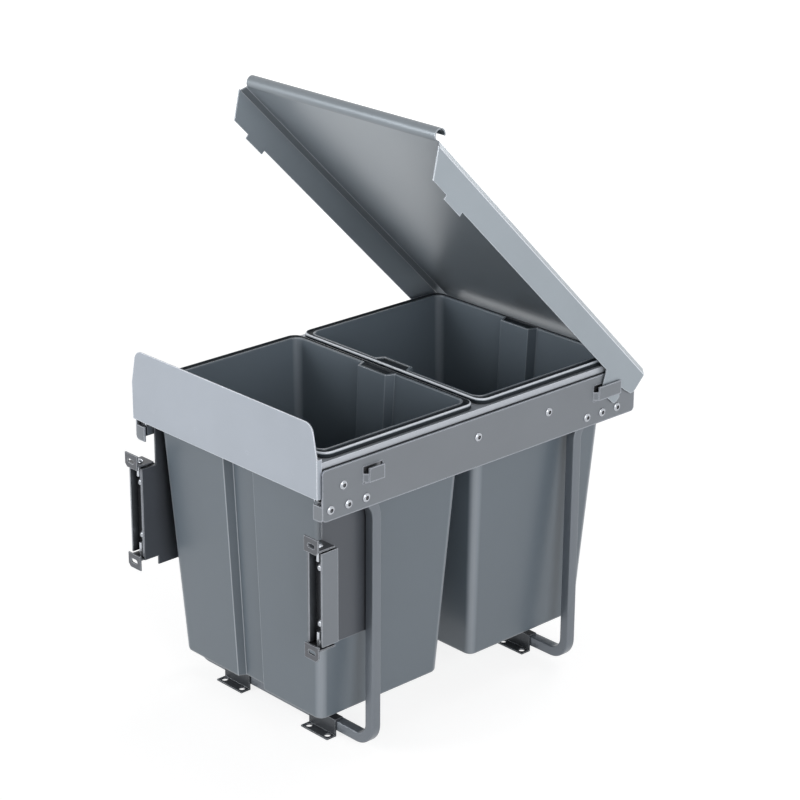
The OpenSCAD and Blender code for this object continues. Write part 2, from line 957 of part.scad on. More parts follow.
module groove(inset) {
    wide = groove_w / 2 + inset;
    narrow = wide - groove_d / 2;
    polygon([
        [-wide, -cut],
        [wide, -cut],
        [wide, 0],
        [narrow, groove_d + inset],
        [-narrow, groove_d + inset],
        [-wide, 0],
    ]);
}

module tub(inset) {
    linear_extrude(bin_h, scale = [taper_x, taper_y], slices = 1)
        tub_outline(inset);
}

module rim_outline(inset) {
    translate([-bin_w / 2 + inset, -bin_l / 2 + inset])
        round_rect(bin_w - 2 * inset, bin_l - 2 * inset, bin_r + 3 - inset);
}

module bin(y) {
    color([0.44, 0.48, 0.52])
        translate([0, y + bin_l / 2, bin_z])
            difference() {
                union() {
                    tub(0);
                    translate([0, 0, bin_h - rim_h / 2])
                        linear_extrude(rim_h / 2)
                            rim_outline(0);
                    translate([0, 0, bin_h - rim_h])
                        linear_extrude(rim_h)
                            difference() {
                                rim_outline(0);
                                rim_outline(bin_wall);
                            }
                }
                translate([0, 0, bin_wall])
                    tub(bin_wall);
            }
}

// Lid: a tray turned upside down, drawn closed with its hinge at the origin and its front at -Y
lid_under = lid_top - lid_t;
flange_in = lid_x - lid_t;
slope_len = norm([shoulder_w, lid_top - shoulder_up]);
slope_x = shoulder_w / slope_len;
slope_z = (lid_top - shoulder_up) / slope_len;

// Place across the lid where the inside of the shoulder reaches the height z
function shoulder_in(z) =
    lid_x - lid_t * slope_z - (z - shoulder_up + lid_t * slope_x) * slope_x / slope_z;

shoulder_low = shoulder_up - lid_t * slope_x
    + (lid_x - lid_t * slope_z - flange_in) * slope_z / slope_x;

module lid_section() {
    top_x = lid_x - shoulder_w;
    polygon([
        [-lid_x, shoulder_up], [-top_x, lid_top],
        [top_x, lid_top], [lid_x, shoulder_up],
        [lid_x, shoulder_low], [flange_in, shoulder_low],
        [shoulder_in(lid_under), lid_under], [-shoulder_in(lid_under), lid_under],
        [-flange_in, shoulder_low], [-lid_x, shoulder_low],
    ]);
}

// A tongue at the front of each flange drops behind the front strap when the lid is closed
tongue_from = hinge_y - front_strap_y - front_strap_len;
tongue_to = hinge_y - front_strap_y + 5;

// The tip of each flange behind the hinge is round
tip_r = 4;
tip = [8.26, -7.29];

module flange_outline() {
    low = flange_up;
    front = lid_reach;
    polygon(concat([
        [-front - 1.7, shoulder_up],
        [-front + 13.7, low],
        [-tongue_to, low],
        [-tongue_to, low - tongue_d],
        [-tongue_from, low - tongue_d],
        [-tongue_from, low],
        [-22.5, low],
        [-16.2, -6.6],
        [-3, -11.9],
    ], [for (a = [-87:16.6:-4]) tip + tip_r * [cos(a), sin(a)]], [
        [12.6, -2.6],
        [8.5, 1.2],
        [8.5, 5.2],
        [14.8, 6],
        [lid_rear - 3, 8],
        [lid_rear - 0.8, 10.7],
        [lid_rear, 14],
        [lid_rear, shoulder_up],
    ]));
}

module flange() {
    difference() {
        along_x(flange_in, lid_t)
            flange_outline();
        rod_x(flange_in - cut, 0, 0, lid_t + 2 * cut, stud_d + 2 * stud_clear);
    }
}

// The front edge rolls upward and back, open behind
module curl() {
    half = lid_x - shoulder_w - curl_inset;
    along_x(-half, 2 * half)
        translate([-lid_reach, lid_under + curl_r])
            difference() {
                circle(curl_r);
                circle(curl_r - lid_t);
                translate([0, -curl_r - cut])
                    square([curl_r + cut, curl_r * 1.5 + cut]);
            }
}

// The fold down along the back edge reaches up into the shoulders
module back_fold() {
    low = lid_top - lid_back - lid_t;
    along_y(lid_rear - lid_t, lid_t)
        polygon([
            [-flange_in, low], [-flange_in, shoulder_low],
            [-shoulder_in(lid_under), lid_under], [shoulder_in(lid_under), lid_under],
            [flange_in, shoulder_low], [flange_in, low],
        ]);
}

module lid() {
    color([0.62, 0.64, 0.67])
        translate([0, hinge_y, hinge_z])
            rotate([-lid_open, 0, 0]) {
                along_y(-lid_reach, lid_reach + lid_rear)
                    lid_section();
                both_sides()
                    flange();
                curl();
                back_fold();
            }
}

module hinge_studs() {
    color([0.80, 0.81, 0.83])
        both_sides()
            rod_x(panel_x - 0.6, hinge_y, hinge_z, strap_gap + 0.6, stud_d);
}

place() {
    side_panel(LEFT);  // side_panel_left
    side_panel(RIGHT);  // side_panel_right
    leg_rivets();
    slide_rivets();
    leg(front_leg_y, -1, front_run_y);  // leg_front
    leg(rear_leg_y, 1, rear_run_y);  // leg_rear
    floor_clip(LEFT, front_leg_y);  // floor_clip_front_left
    floor_clip(RIGHT, front_leg_y);  // floor_clip_front_right
    floor_clip(LEFT, rear_leg_y);  // floor_clip_rear_left
    floor_clip(RIGHT, rear_leg_y);  // floor_clip_rear_right
    slide_fixed(LEFT);  // slide_fixed_left
    slide_fixed(RIGHT);  // slide_fixed_right
    hinge_studs();
    outer_ball_cages();
    outer_balls();
    slide_middle(LEFT);  // slide_middle_left
    slide_middle(RIGHT);  // slide_middle_right
    inner_ball_cages();
    inner_balls();
    slide_inner(LEFT);  // slide_inner_left
    slide_inner(RIGHT);  // slide_inner_right
    carriage_rail(LEFT);  // carriage_rail_left
    carriage_rail(RIGHT);  // carriage_rail_right
    crossbar_front();
    crossbar_middle();
    crossbar_rear();
    carriage_rivets();
    front_plate();
    plate_screws();
    hanger(LEFT);  // hanger_left
    hanger(RIGHT);  // hanger_right
    channel(LEFT);  // channel_left
    channel(RIGHT);  // channel_right
    bracket_bolts();
    bracket_nuts();
    door_bracket(LEFT);  // door_bracket_left
    door_bracket(RIGHT);  // door_bracket_right
    height_screws(LEFT);  // height_screws_left
    height_screws(RIGHT);  // height_screws_right
    bin(bin_y);  // front_bin
    bin(rear_bin_y);  // rear_bin
    lid();
}
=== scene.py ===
"""Looks of a pull-out bin frame: sheet metal, bent tubes, moulded bins and their light."""

import json
import logging
import math
from dataclasses import dataclass, field
from enum import Enum
from typing import Iterable, Sequence

import bmesh
import bpy
from bpy.types import (GeometryNodeTree, Material, Mesh, Node, NodeSocket, NodeTree, Object,
                       ShaderNodeTree)
from mathutils import Matrix, Vector


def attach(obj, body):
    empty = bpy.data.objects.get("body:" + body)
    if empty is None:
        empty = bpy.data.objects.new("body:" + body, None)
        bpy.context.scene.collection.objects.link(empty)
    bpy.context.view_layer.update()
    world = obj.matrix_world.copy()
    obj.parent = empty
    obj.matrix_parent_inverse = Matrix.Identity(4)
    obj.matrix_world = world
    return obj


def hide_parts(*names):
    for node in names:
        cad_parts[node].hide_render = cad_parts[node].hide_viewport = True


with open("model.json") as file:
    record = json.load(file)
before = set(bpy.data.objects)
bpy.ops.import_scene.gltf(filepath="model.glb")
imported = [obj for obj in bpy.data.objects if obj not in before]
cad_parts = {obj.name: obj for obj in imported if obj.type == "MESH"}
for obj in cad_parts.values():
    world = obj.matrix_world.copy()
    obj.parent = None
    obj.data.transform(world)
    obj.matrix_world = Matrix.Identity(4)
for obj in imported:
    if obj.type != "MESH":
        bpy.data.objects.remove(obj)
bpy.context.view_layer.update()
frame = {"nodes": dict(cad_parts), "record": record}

log = logging.getLogger("bin_frame")

MM = 0.001
MIDDLE_Y = 198.8
SIDES = (-1, 1)

Point = tuple[float, float, float]
Colour = tuple[float, float, float]


def place(x: float, y: float, z: float) -> Vector:
    """Turn millimetres, with y from the front plate's face, into the model's metres."""
    return Vector((x * MM, (y - MIDDLE_Y) * MM, z * MM))


def linear(colour: Colour) -> tuple[float, float, float, float]:
    """Turn a display colour into the linear colour that a shader takes.

    Args:
        colour: Red, green and blue from 0 to 1 as a screen shows them.

    Returns:
        The linear colour with an alpha of 1.
    """
    red, green, blue = (value / 12.92 if value <= 0.04045 else ((value + 0.055) / 1.055) ** 2.4
                        for value in colour)
    return red, green, blue, 1.0


# Shader groups


def new_group(name: str, inputs: Sequence[tuple[str, str, float | None]],
              outputs: Sequence[tuple[str, str]], kind: str = "ShaderNodeTree") -> NodeTree:
    """Make an empty node group with named sockets.

    Args:
        name: Name of the group.
        inputs: Name, socket type without its "NodeSocket" and default of each input.
        outputs: Name and socket type of each output.
        kind: Blender's name of the tree type.

    Returns:
        The group, with its input and output nodes in place.
    """
    tree = bpy.data.node_groups.new(name, kind)
    for label, socket_type, default in inputs:
        socket = tree.interface.new_socket(label, in_out="INPUT",
                                           socket_type=f"NodeSocket{socket_type}")
        if default is not None:
            socket.default_value = default
    for label, socket_type in outputs:
        tree.interface.new_socket(label, in_out="OUTPUT", socket_type=f"NodeSocket{socket_type}")
    tree.nodes.new("NodeGroupInput").name = "in"
    tree.nodes.new("NodeGroupOutput").name = "out"
    return tree


def put_out(tree: NodeTree, **results: NodeSocket) -> NodeTree:
    """Link a group's results to its outputs.

    Args:
        tree: The group.
        **results: Socket that feeds each output, by the output's name.

    Returns:
        The group.
    """
    for label, result in results.items():
        tree.links.new(result, tree.nodes["out"].inputs[label])
    return tree


def add(tree: NodeTree, kind: str, settings: dict | None = None,
        **links: object) -> Node:
    """Add a node and fill its inputs.

    Args:
        tree: Tree that gets the node.
        kind: Blender's name of the node type.
        settings: Properties to set on the node.
        **links: Inputs by name, with spaces as underscores, or as i0, i1 by place.
            A socket is linked and anything else becomes the default value.

    Returns:
        The new node.
    """
    node = tree.nodes.new(kind)
    for key, value in (settings or {}).items():
        setattr(node, key, value)
    for key, value in links.items():
        by_place = key[0] == "i" and key[1:].isdigit()
        socket = node.inputs[int(key[1:])] if by_place else node.inputs[key.replace("_", " ")]
        if isinstance(value, NodeSocket):
            tree.links.new(value, socket)
        else:
            socket.default_value = value
    return node


def math_node(tree: NodeTree, operation: str, a: object, b: object = 0.0,
              clamp: bool = False) -> NodeSocket:
    """Add a Math node and return its output."""
    node = add(tree, "ShaderNodeMath", {"operation": operation, "use_clamp": clamp}, i0=a, i1=b)
    return node.outputs[0]


def scale_shift(tree: NodeTree, value: object, scale: float, shift: float) -> NodeSocket:
    """Scale a value, shift it and return the result's socket."""
    node = add(tree, "ShaderNodeMath", {"operation": "MULTIPLY_ADD"}, i0=value, i1=scale, i2=shift)
    return node.outputs[0]


def mix_colour(tree: NodeTree, factor: object, a: object, b: object) -> NodeSocket:
    """Mix two colours and return the result's socket."""
    return add(tree, "ShaderNodeMix", {"data_type": "RGBA"}, i0=factor, i6=a, i7=b).outputs[2]


def use(tree: NodeTree, group: NodeTree, where: NodeSocket,
        **values: float) -> bpy.types.NodeOutputs:
    """Place a group in a tree and return its outputs."""
    return add(tree, "ShaderNodeGroup", {"node_tree": group}, Vector=where, **values).outputs


def grain_group() -> ShaderNodeTree:
    """Build the fine grain that powder coat, plastic and steel share.

    Returns:
        A group that puts out a soft mottle, a fine speckle and a bump height.
    """
    tree = new_group("fine_grain", [("Vector", "Vector", None), ("Scale", "Float", 900.0)],
                     [("Mottle", "Float"), ("Speckle", "Float"), ("Height", "Float")])
    source = tree.nodes["in"].outputs
    mottle = add(tree, "ShaderNodeTexNoise", Vector=source["Vector"], Scale=14.0, Detail=4.0,
                 Roughness=0.55)
    fine = add(tree, "ShaderNodeTexNoise", Vector=source["Vector"], Scale=source["Scale"],
               Detail=2.0, Roughness=0.5)
    cells = add(tree, "ShaderNodeTexVoronoi", Vector=source["Vector"], Scale=source["Scale"])
    height = math_node(tree, "ADD", fine.outputs[0],
                       math_node(tree, "MULTIPLY", cells.outputs["Distance"], 0.35))
    return put_out(tree, Mottle=mottle.outputs[0], Speckle=fine.outputs[0], Height=height)


def edge_group() -> ShaderNodeTree:
    """Build the mask of a painted highlight along sharp edges.

    Returns:
        A group whose mask is 1 along sharp edges, broken up by noise.
    """
    tree = new_group("edge_wear", [("Vector", "Vector", None), ("Radius", "Float", 0.0008),
                                   ("Strength", "Float", 1.0)], [("Mask", "Float")])
    source = tree.nodes["in"].outputs
    rounded = add(tree, "ShaderNodeBevel", {"samples": 4}, Radius=source["Radius"])
    surface = add(tree, "ShaderNodeNewGeometry")
    dot = add(tree, "ShaderNodeVectorMath", {"operation": "DOT_PRODUCT"},
              i0=rounded.outputs[0], i1=surface.outputs["Normal"])
    bend = math_node(tree, "SUBTRACT", 1.0, dot.outputs["Value"])
    sharp = add(tree, "ShaderNodeMapRange", Value=bend, From_Min=0.01, From_Max=0.16)
    noise = add(tree, "ShaderNodeTexNoise", Vector=source["Vector"], Scale=60.0, Detail=3.0)
    broken = scale_shift(tree, noise.outputs[0], 0.9, 0.45)
    mask = math_node(tree, "MULTIPLY", sharp.outputs[0], broken, clamp=True)
    mask = math_node(tree, "MULTIPLY", mask, source["Strength"], clamp=True)
    return put_out(tree, Mask=mask)


def dust_group() -> ShaderNodeTree:
    """Build the thin dust that settles on faces that look up.

    Returns:
        A group whose mask grows as a face turns up, in soft patches.
    """
    tree = new_group("dust", [("Vector", "Vector", None), ("Amount", "Float", 0.1)],
                     [("Mask", "Float")])
    source = tree.nodes["in"].outputs
    surface = add(tree, "ShaderNodeNewGeometry")
    parts = add(tree, "ShaderNodeSeparateXYZ", Vector=surface.outputs["Normal"])
    up = math_node(tree, "MAXIMUM", parts.outputs["Z"], 0.0)
    patches = add(tree, "ShaderNodeTexNoise", Vector=source["Vector"], Scale=35.0, Detail=5.0)
    mask = math_node(tree, "MULTIPLY", up, patches.outputs[0])
    mask = math_node(tree, "MULTIPLY", mask, source["Amount"], clamp=True)
    return put_out(tree, Mask=mask)


def crevice_group() -> ShaderNodeTree:
    """Build the shade that gathers in gaps, channels and inner corners.

    Returns:
        A group whose mask grows from 0 in the open to 1 deep in a gap.
    """
    tree = new_group("crevices", [("Vector", "Vector", None), ("Reach", "Float", 0.02),
                                  ("Amount", "Float", 0.5)], [("Mask", "Float")])
    source = tree.nodes["in"].outputs
    open_sky = add(tree, "ShaderNodeAmbientOcclusion", {"samples": 6}, Distance=source["Reach"])
    closed = math_node(tree, "SUBTRACT", 1.0, open_sky.outputs["AO"])
    deep = add(tree, "ShaderNodeMapRange", Value=closed, From_Min=0.25, From_Max=0.85)
    patches = add(tree, "ShaderNodeTexNoise", Vector=source["Vector"], Scale=90.0, Detail=3.0)
    broken = scale_shift(tree, patches.outputs[0], 0.3, 0.85)
    mask = math_node(tree, "MULTIPLY", deep.outputs[0], broken)
    mask = math_node(tree, "MULTIPLY", mask, source["Amount"], clamp=True)
    return put_out(tree, Mask=mask)


def node_material(name: str) -> Material:
    """Make a material with an empty node tree.

    Args:
        name: Name of the material.

    Returns:
        The material.
    """
    material = bpy.data.materials.new(name)
    material.use_nodes = True
    material.node_tree.nodes.clear()
    return material


@dataclass(frozen=True)
class Groups:
    """The shader groups that the finishes share."""

    grain: ShaderNodeTree
    edge: ShaderNodeTree
    dust: ShaderNodeTree
    crevice: ShaderNodeTree


GROUPS = Groups(grain_group(), edge_group(), dust_group(), crevice_group())


class Surface(Enum):
    """The kinds of surface that a finish can be."""

    POWDER_COAT = "powder coat"
    ZINC = "zinc"
    PLASTIC = "plastic"


MOTTLE_CONTRAST = 1.6
SPECKLE_SHARE = 0.35
ROUGH_SPREAD = 0.12
DUST_COLOUR = (0.62, 0.61, 0.59)
DUST_ROUGHNESS = 0.3
PAINTED_SHADE_SHARE = 0.12
BUMP_DEPTH = 0.0002
COAT_ROUGHNESS = 0.25
BASE_SPECULAR = 0.5
BRUSH_STRETCH = (1.0, 0.12, 1.0)


@dataclass(frozen=True)
class Finish:
    """One finish: its colour, how it shines and how fine its texture is."""

    name: str
    colour: Colour
    surface: Surface
    roughness: float = 0.45
    metallic: float = 0.0
    grain: float = 900.0
    bump: float = 0.05
    mottle: float = 0.06
    highlight_colour: Colour = (0.80, 0.82, 0.85)
    edge_highlight: float = 0.5
    coat: float = 0.0
    dust: float = 0.05
    shade: float = 0.55
    reach: float = 0.018
    edge: float = 0.001
    rub: float = 0.3

    def build(self) -> Material:
        """Build the material.

        Returns:
            A node material on Object coordinates.
        """
        material = node_material(self.name)
        tree = material.node_tree
        where = add(tree, "ShaderNodeTexCoord").outputs["Object"]
        grain_where = where
        if self.surface is Surface.ZINC:
            grain_where = add(tree, "ShaderNodeMapping", Vector=where,
                              Scale=BRUSH_STRETCH).outputs[0]
        grain = use(tree, GROUPS.grain, grain_where, Scale=self.grain)
        edge = use(tree, GROUPS.edge, where, Strength=self.edge_highlight, Radius=self.edge)
        dust = use(tree, GROUPS.dust, where, Amount=self.dust)
        crevice = use(tree, GROUPS.crevice, where, Reach=self.reach, Amount=self.shade)
        base = linear(self.colour)
        dark, light, deep = ((*(c * share for c in base[:3]), 1.0) for share in (
            1 - MOTTLE_CONTRAST * self.mottle, 1 + MOTTLE_CONTRAST * self.mottle, PAINTED_SHADE_SHARE))
        body = mix_colour(tree, grain["Mottle"], dark, light)
        speck = math_node(tree, "MULTIPLY", grain["Speckle"], SPECKLE_SHARE)
        body = mix_colour(tree, speck, body, light)
        # Painted highlight: sharp edges are lightened toward a bright colour.
        body = mix_colour(tree, edge["Mask"], body, linear(self.highlight_colour))
        # Painted highlight: faces marked by an attribute are lightened toward the same bright
        # colour.
        edges = add(tree, "ShaderNodeAttribute", {"attribute_name": "rub"})
        rub = math_node(tree, "MULTIPLY", edges.outputs["Fac"], self.rub)
        body = mix_colour(tree, rub, body, linear(self.highlight_colour))
        body = mix_colour(tree, dust["Mask"], body, linear(DUST_COLOUR))
        # Painted shade: crevices and faces marked by an attribute are darkened toward a dark share
        # of the colour.
        body = mix_colour(tree, crevice["Mask"], body, deep)
        soil = add(tree, "ShaderNodeAttribute", {"attribute_name": "soil"})
        body = mix_colour(tree, soil.outputs["Fac"], body, deep)
        rough = scale_shift(tree, grain["Mottle"], ROUGH_SPREAD, self.roughness - ROUGH_SPREAD / 2)
        dusty = math_node(tree, "MULTIPLY", dust["Mask"], DUST_ROUGHNESS)
        rough = math_node(tree, "ADD", rough, dusty, clamp=True)
        bump = add(tree, "ShaderNodeBump", Height=grain["Height"], Strength=self.bump,
                   Distance=BUMP_DEPTH)
        shader = add(tree, "ShaderNodeBsdfPrincipled", Base_Color=body, Roughness=rough,
                     Normal=bump.outputs[0], Metallic=self.metallic,
                     Coat_Roughness=COAT_ROUGHNESS)
        # Painted shade also dims the specular and the coat in crevices and on marked faces.
        gap = math_node(tree, "MAXIMUM", crevice["Mask"], soil.outputs["Fac"])
        open_air = math_node(tree, "SUBTRACT", 1.0, gap, clamp=True)
        for label, amount in (("Specular IOR Level", BASE_SPECULAR), ("Coat Weight", self.coat)):
            tree.links.new(math_node(tree, "MULTIPLY", open_air, amount), shader.inputs[label])
        out = add(tree, "ShaderNodeOutputMaterial", Surface=shader.outputs[0])
        out.is_active_output = True
        return material


COAT = Surface.POWDER_COAT
STEEL = Surface.ZINC
BRIGHT = (0.93, 0.95, 0.98)
FINISHES = (
    Finish("panel_paint", (0.47, 0.49, 0.515), COAT, 0.40, 0.35, coat=0.2, edge_highlight=0.8,
           shade=0.96, reach=0.005, edge=0.0022, highlight_colour=(0.78, 0.80, 0.84), rub=1.0),
    Finish("plate_paint", (0.66, 0.69, 0.73), COAT, 0.38, 0.25, coat=0.2, edge_highlight=1.0,
           highlight_colour=BRIGHT, edge=0.0014, rub=1.0),
    Finish("lid_paint", (0.60, 0.635, 0.665), COAT, 0.34, 0.45, coat=0.25, edge_highlight=1.0,
           highlight_colour=BRIGHT, edge=0.0010, rub=0.75),
    Finish("rail_paint", (0.72, 0.74, 0.77), COAT, 0.36, 0.3, coat=0.2, edge_highlight=0.8, shade=0.98,
           reach=0.004, highlight_colour=BRIGHT, rub=0.8),
    Finish("leg_paint", (0.44, 0.465, 0.495), COAT, 0.36, 0.45, coat=0.2, edge_highlight=0.5, edge=0.0016),
    Finish("clip_paint", (0.31, 0.325, 0.345), COAT, 0.34, 0.3, coat=0.1, edge_highlight=0.8,
           shade=0.95, reach=0.035),
    Finish("hanger_paint", (0.33, 0.345, 0.37), COAT, 0.38, 0.4, edge_highlight=0.6),
    Finish("channel_paint", (0.47, 0.49, 0.515), COAT, 0.36, 0.4, edge_highlight=0.9, shade=0.98, reach=0.03),
    Finish("bracket_paint", (0.36, 0.37, 0.39), COAT, 0.34, 0.4, edge_highlight=0.9, shade=0.99,
           reach=0.028),
    Finish("slide_steel", (0.62, 0.63, 0.65), STEEL, 0.34, 0.9, grain=500, edge_highlight=0.3, shade=0.8),
    Finish("cage_steel", (0.58, 0.56, 0.50), STEEL, 0.42, 0.8, grain=500, edge_highlight=0.3),
    Finish("ball_steel", (0.80, 0.81, 0.83), STEEL, 0.14, 1.0, grain=300, bump=0.01, edge_highlight=0.0),
    Finish("fastener_zinc", (0.72, 0.735, 0.76), STEEL, 0.26, 0.75, grain=700, edge_highlight=0.6,
           highlight_colour=BRIGHT, edge=0.0005, shade=0.98, reach=0.003),
    Finish("bin_plastic", (0.385, 0.425, 0.46), Surface.PLASTIC, 0.34, grain=1400, bump=0.09,
           mottle=0.04, highlight_colour=BRIGHT, edge_highlight=0.6, coat=0.2, shade=0.6, reach=0.012,
           edge=0.0009, rub=1.0),
)
MATERIALS: dict[str, Material] = {}


# Meshes

SOFT_ANGLE = 35.0
TURNED_ANGLE = 40.0
ROUNDED_ANGLE = 50.0
CAD_MERGE = 2e-6
RUN_MERGE = 1e-6
POINT_MERGE = 1e-7
FLAT_ANGLE = 0.6


def put(name: str, data: bpy.types.ID) -> Object:
    """Make an object and link it to the scene.

    Args:
        name: Name of the object.
        data: Its mesh, camera or light.

    Returns:
        The object.
    """
    thing = bpy.data.objects.new(name, data)
    bpy.context.scene.collection.objects.link(thing)
    return thing


def object_from(name: str, verts: Iterable[Vector], faces: Iterable[Sequence[int]],
                angle: float = SOFT_ANGLE) -> Object:
    """Make an object from points and faces, closed and facing out.

    Args:
        name: Name of the object.
        verts: Points in metres.
        faces: Corner numbers of each face.
        angle: Edges sharper than this, in degrees, stay sharp.

    Returns:
        The object, linked to the scene.
    """
    shape = bmesh.new()
    made = [shape.verts.new(v) for v in verts]
    for face in faces:
        if len(set(face)) > 2:
            shape.faces.new([made[i] for i in face])
    bmesh.ops.remove_doubles(shape, verts=shape.verts, dist=POINT_MERGE)
    bmesh.ops.recalc_face_normals(shape, faces=shape.faces)
    return object_of(name, shape, angle)


def ring_faces(rings: int, count: int) -> list[tuple[int, ...]]:
    """Join rings of points, one after the other, with four-sided faces.

    Args:
        rings: Number of rings.
        count: Points in each ring.

    Returns:
        The corner numbers of each face.
    """
    faces: list[tuple[int, ...]] = []
    for ring in range(rings - 1):
        for i in range(count):
            a, b = ring * count + i, ring * count + (i + 1) % count
            faces.append((a, b, b + count, a + count))
    return faces


def object_of(name: str, shape: bmesh.types.BMesh, angle: float = SOFT_ANGLE) -> Object:
    """Turn a bmesh into a smooth-shaded object and free it.

    Args:
        name: Name of the object.
        shape: The bmesh.
        angle: Edges sharper than this, in degrees, stay sharp.

    Returns:
        The object, linked to the scene.
    """
    mesh = bpy.data.meshes.new(name)
    shape.to_mesh(mesh)
    shape.free()
    mesh.shade_smooth()
    mesh.set_sharp_from_angle(angle=math.radians(angle))
    return put(name, mesh)


def settle(thing: Object) -> Object:
    """Turn an object with modifiers into a plain mesh of the same name.

    Args:
        thing: The object.

    Returns:
        The same object.
    """
    bpy.context.view_layer.update()
    graph = bpy.context.evaluated_depsgraph_get()
    mesh = bpy.data.meshes.new_from_object(thing.evaluated_get(graph), depsgraph=graph)
    name = thing.name
    old = thing.data
    thing.modifiers.clear()
    thing.data = mesh
    mesh.name = name
    if old.users == 0:
        bpy.data.meshes.remove(old)
    return thing


def dress(thing: Object, slot: str, body: str, *nodes: str) -> Object:
    """Give a piece its finish and its body, and let it stand for CAD nodes.

    Args:
        thing: The piece.
        slot: Name of the finish and of the record's slot.
        body: Body that the piece rides on.
        *nodes: CAD nodes that it replaces.

    Returns:
        The piece.
    """
    thing.data.materials.clear()
    thing.data.materials.append(MATERIALS[slot])
    if nodes:
        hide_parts(*nodes)
    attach(thing, body)
    log.info("%s: %d faces on %s", thing.name, len(thing.data.polygons), body)
    return thing


def merged_copy(node: str) -> bmesh.types.BMesh:
    """Copy a CAD node's mesh, join its loose triangles and dissolve its flat ones.

    Args:
        node: Name of the node.

    Returns:
        The copy.
    """
    shape = bmesh.new()
    shape.from_mesh(frame["nodes"][node].data)
    bmesh.ops.remove_doubles(shape, verts=shape.verts, dist=CAD_MERGE)
    bmesh.ops.dissolve_limit(shape, angle_limit=math.radians(FLAT_ANGLE), verts=shape.verts,
                             edges=shape.edges)
    return shape


def even(thing: Object) -> Object:
    """Shade an object's broad faces flat and leave the turn to its narrow ones.

    Args:
        thing: The object.

    Returns:
        The same object.
    """
    weigh = thing.modifiers.new("even", "WEIGHTED_NORMAL")
    weigh.keep_sharp = True
    weigh.weight = 90
    return settle(thing)


def mark(mesh: Mesh, name: str, values: Sequence[float], domain: str = "FACE") -> None:
    """Store a number on each face or point, under a name that a node tree reads."""
    layer = mesh.attributes.new(name, "FLOAT", domain)
    layer.data.foreach_set("value", values)


def highlight_strips(thing: Object, widest: float) -> None:
    """Mark the narrow faces along an object's edges for a painted highlight.

    Args:
        thing: The object.
        widest: Width in millimetres up to which a face counts as narrow.
    """
    mesh = thing.data
    values = []
    for face in mesh.polygons:
        spots = [mesh.vertices[i].co for i in face.vertices]
        longest = max((a - b).length for a, b in zip(spots, spots[1:] + spots[:1]))
        values.append(1.0 if face.area < widest * MM * longest else 0.0)
    mark(mesh, "rub", values)


def soften(thing: Object, width: float, angle: float = 32.0) -> Object:
    """Round an object's sharp edges, as folded and powder coated sheet has them.

    Args:
        thing: The object.
        width: Width of the rounding in millimetres.
        angle: Edges sharper than this, in degrees, are rounded.

    Returns:
        The object with a plain mesh.
    """
    bevel = thing.modifiers.new("round", "BEVEL")
    bevel.width = width * MM
    bevel.segments = 2
    bevel.limit_method = "ANGLE"
    bevel.angle_limit = math.radians(angle)
    bevel.use_clamp_overlap = True
    bevel.miter_outer = "MITER_ARC"
    settle(thing)
    thing.data.shade_smooth()
    thing.data.set_sharp_from_angle(angle=math.radians(ROUNDED_ANGLE))
    return even(thing)


@dataclass
class SheetParts:
    """Pressed and folded parts: the CAD shape with rounded, coated edges."""

    body: str
    parts: dict[str, tuple[str, float]]
    seam_nodes: tuple[str, ...] = ()
    seam_z: float = 289.5
    seam_x: float = 111.15
    seam_shade: float = 0.94

    def shade_seam(self, thing: Object) -> None:
        """Paint shade on a rail's outer face below the seam, where it lies behind the side panel.

        Args:
            thing: The rail.
        """
        seam = [self.seam_shade if face.center.z < self.seam_z * MM
                and face.center.x * face.normal.x > self.seam_x * MM else 0.0
                for face in thing.data.polygons]
        mark(thing.data, "soil", seam)

    def build(self) -> None:
        """Round and dress each part, in place of its CAD node."""
        for node, (slot, width) in self.parts.items():
            shape = merged_copy(node)
            if node in self.seam_nodes:
                bmesh.ops.bisect_plane(shape, geom=shape.verts[:] + shape.edges[:] + shape.faces[:],
                                       plane_co=(0.0, 0.0, self.seam_z * MM),
                                       plane_no=(0.0, 0.0, 1.0))
            piece = object_of(f"{node}_sheet", shape)
            soften(piece, width)
            highlight_strips(piece, 1.3 * width)
            if node in self.seam_nodes:
                self.shade_seam(piece)
            dress(piece, slot, self.body, node)


# Turned heads on points


def end_tree(tree: GeometryNodeTree, made: NodeSocket) -> GeometryNodeTree:
    """End a tree: make what it grew real and give it the finish.

    Args:
        tree: The tree, with an input for the finish.
        made: Socket with what it grew.

    Returns:
        The tree.
    """
    real = add(tree, "GeometryNodeRealizeInstances", Geometry=made)
    finished = add(tree, "GeometryNodeSetMaterial", Geometry=real.outputs[0],
                   Material=tree.nodes["in"].outputs["Finish"])
    return put_out(tree, Geometry=finished.outputs[0])


def turned(name: str, outline: Sequence[tuple[float, float]], steps: int = 28) -> Object:
    """Turn a half outline around Z into a closed solid.

    Args:
        name: Name of the object.
        outline: Radius and height of each point, from the axis below to the axis above.
        steps: Number of steps around.

    Returns:
        The solid.
    """
    turns = [2 * math.pi * i / steps for i in range(steps)]
    verts = [Vector((radius * math.cos(turn), radius * math.sin(turn), height))
             for radius, height in outline for turn in turns]
    return object_from(name, verts, ring_faces(len(outline), steps), TURNED_ANGLE)


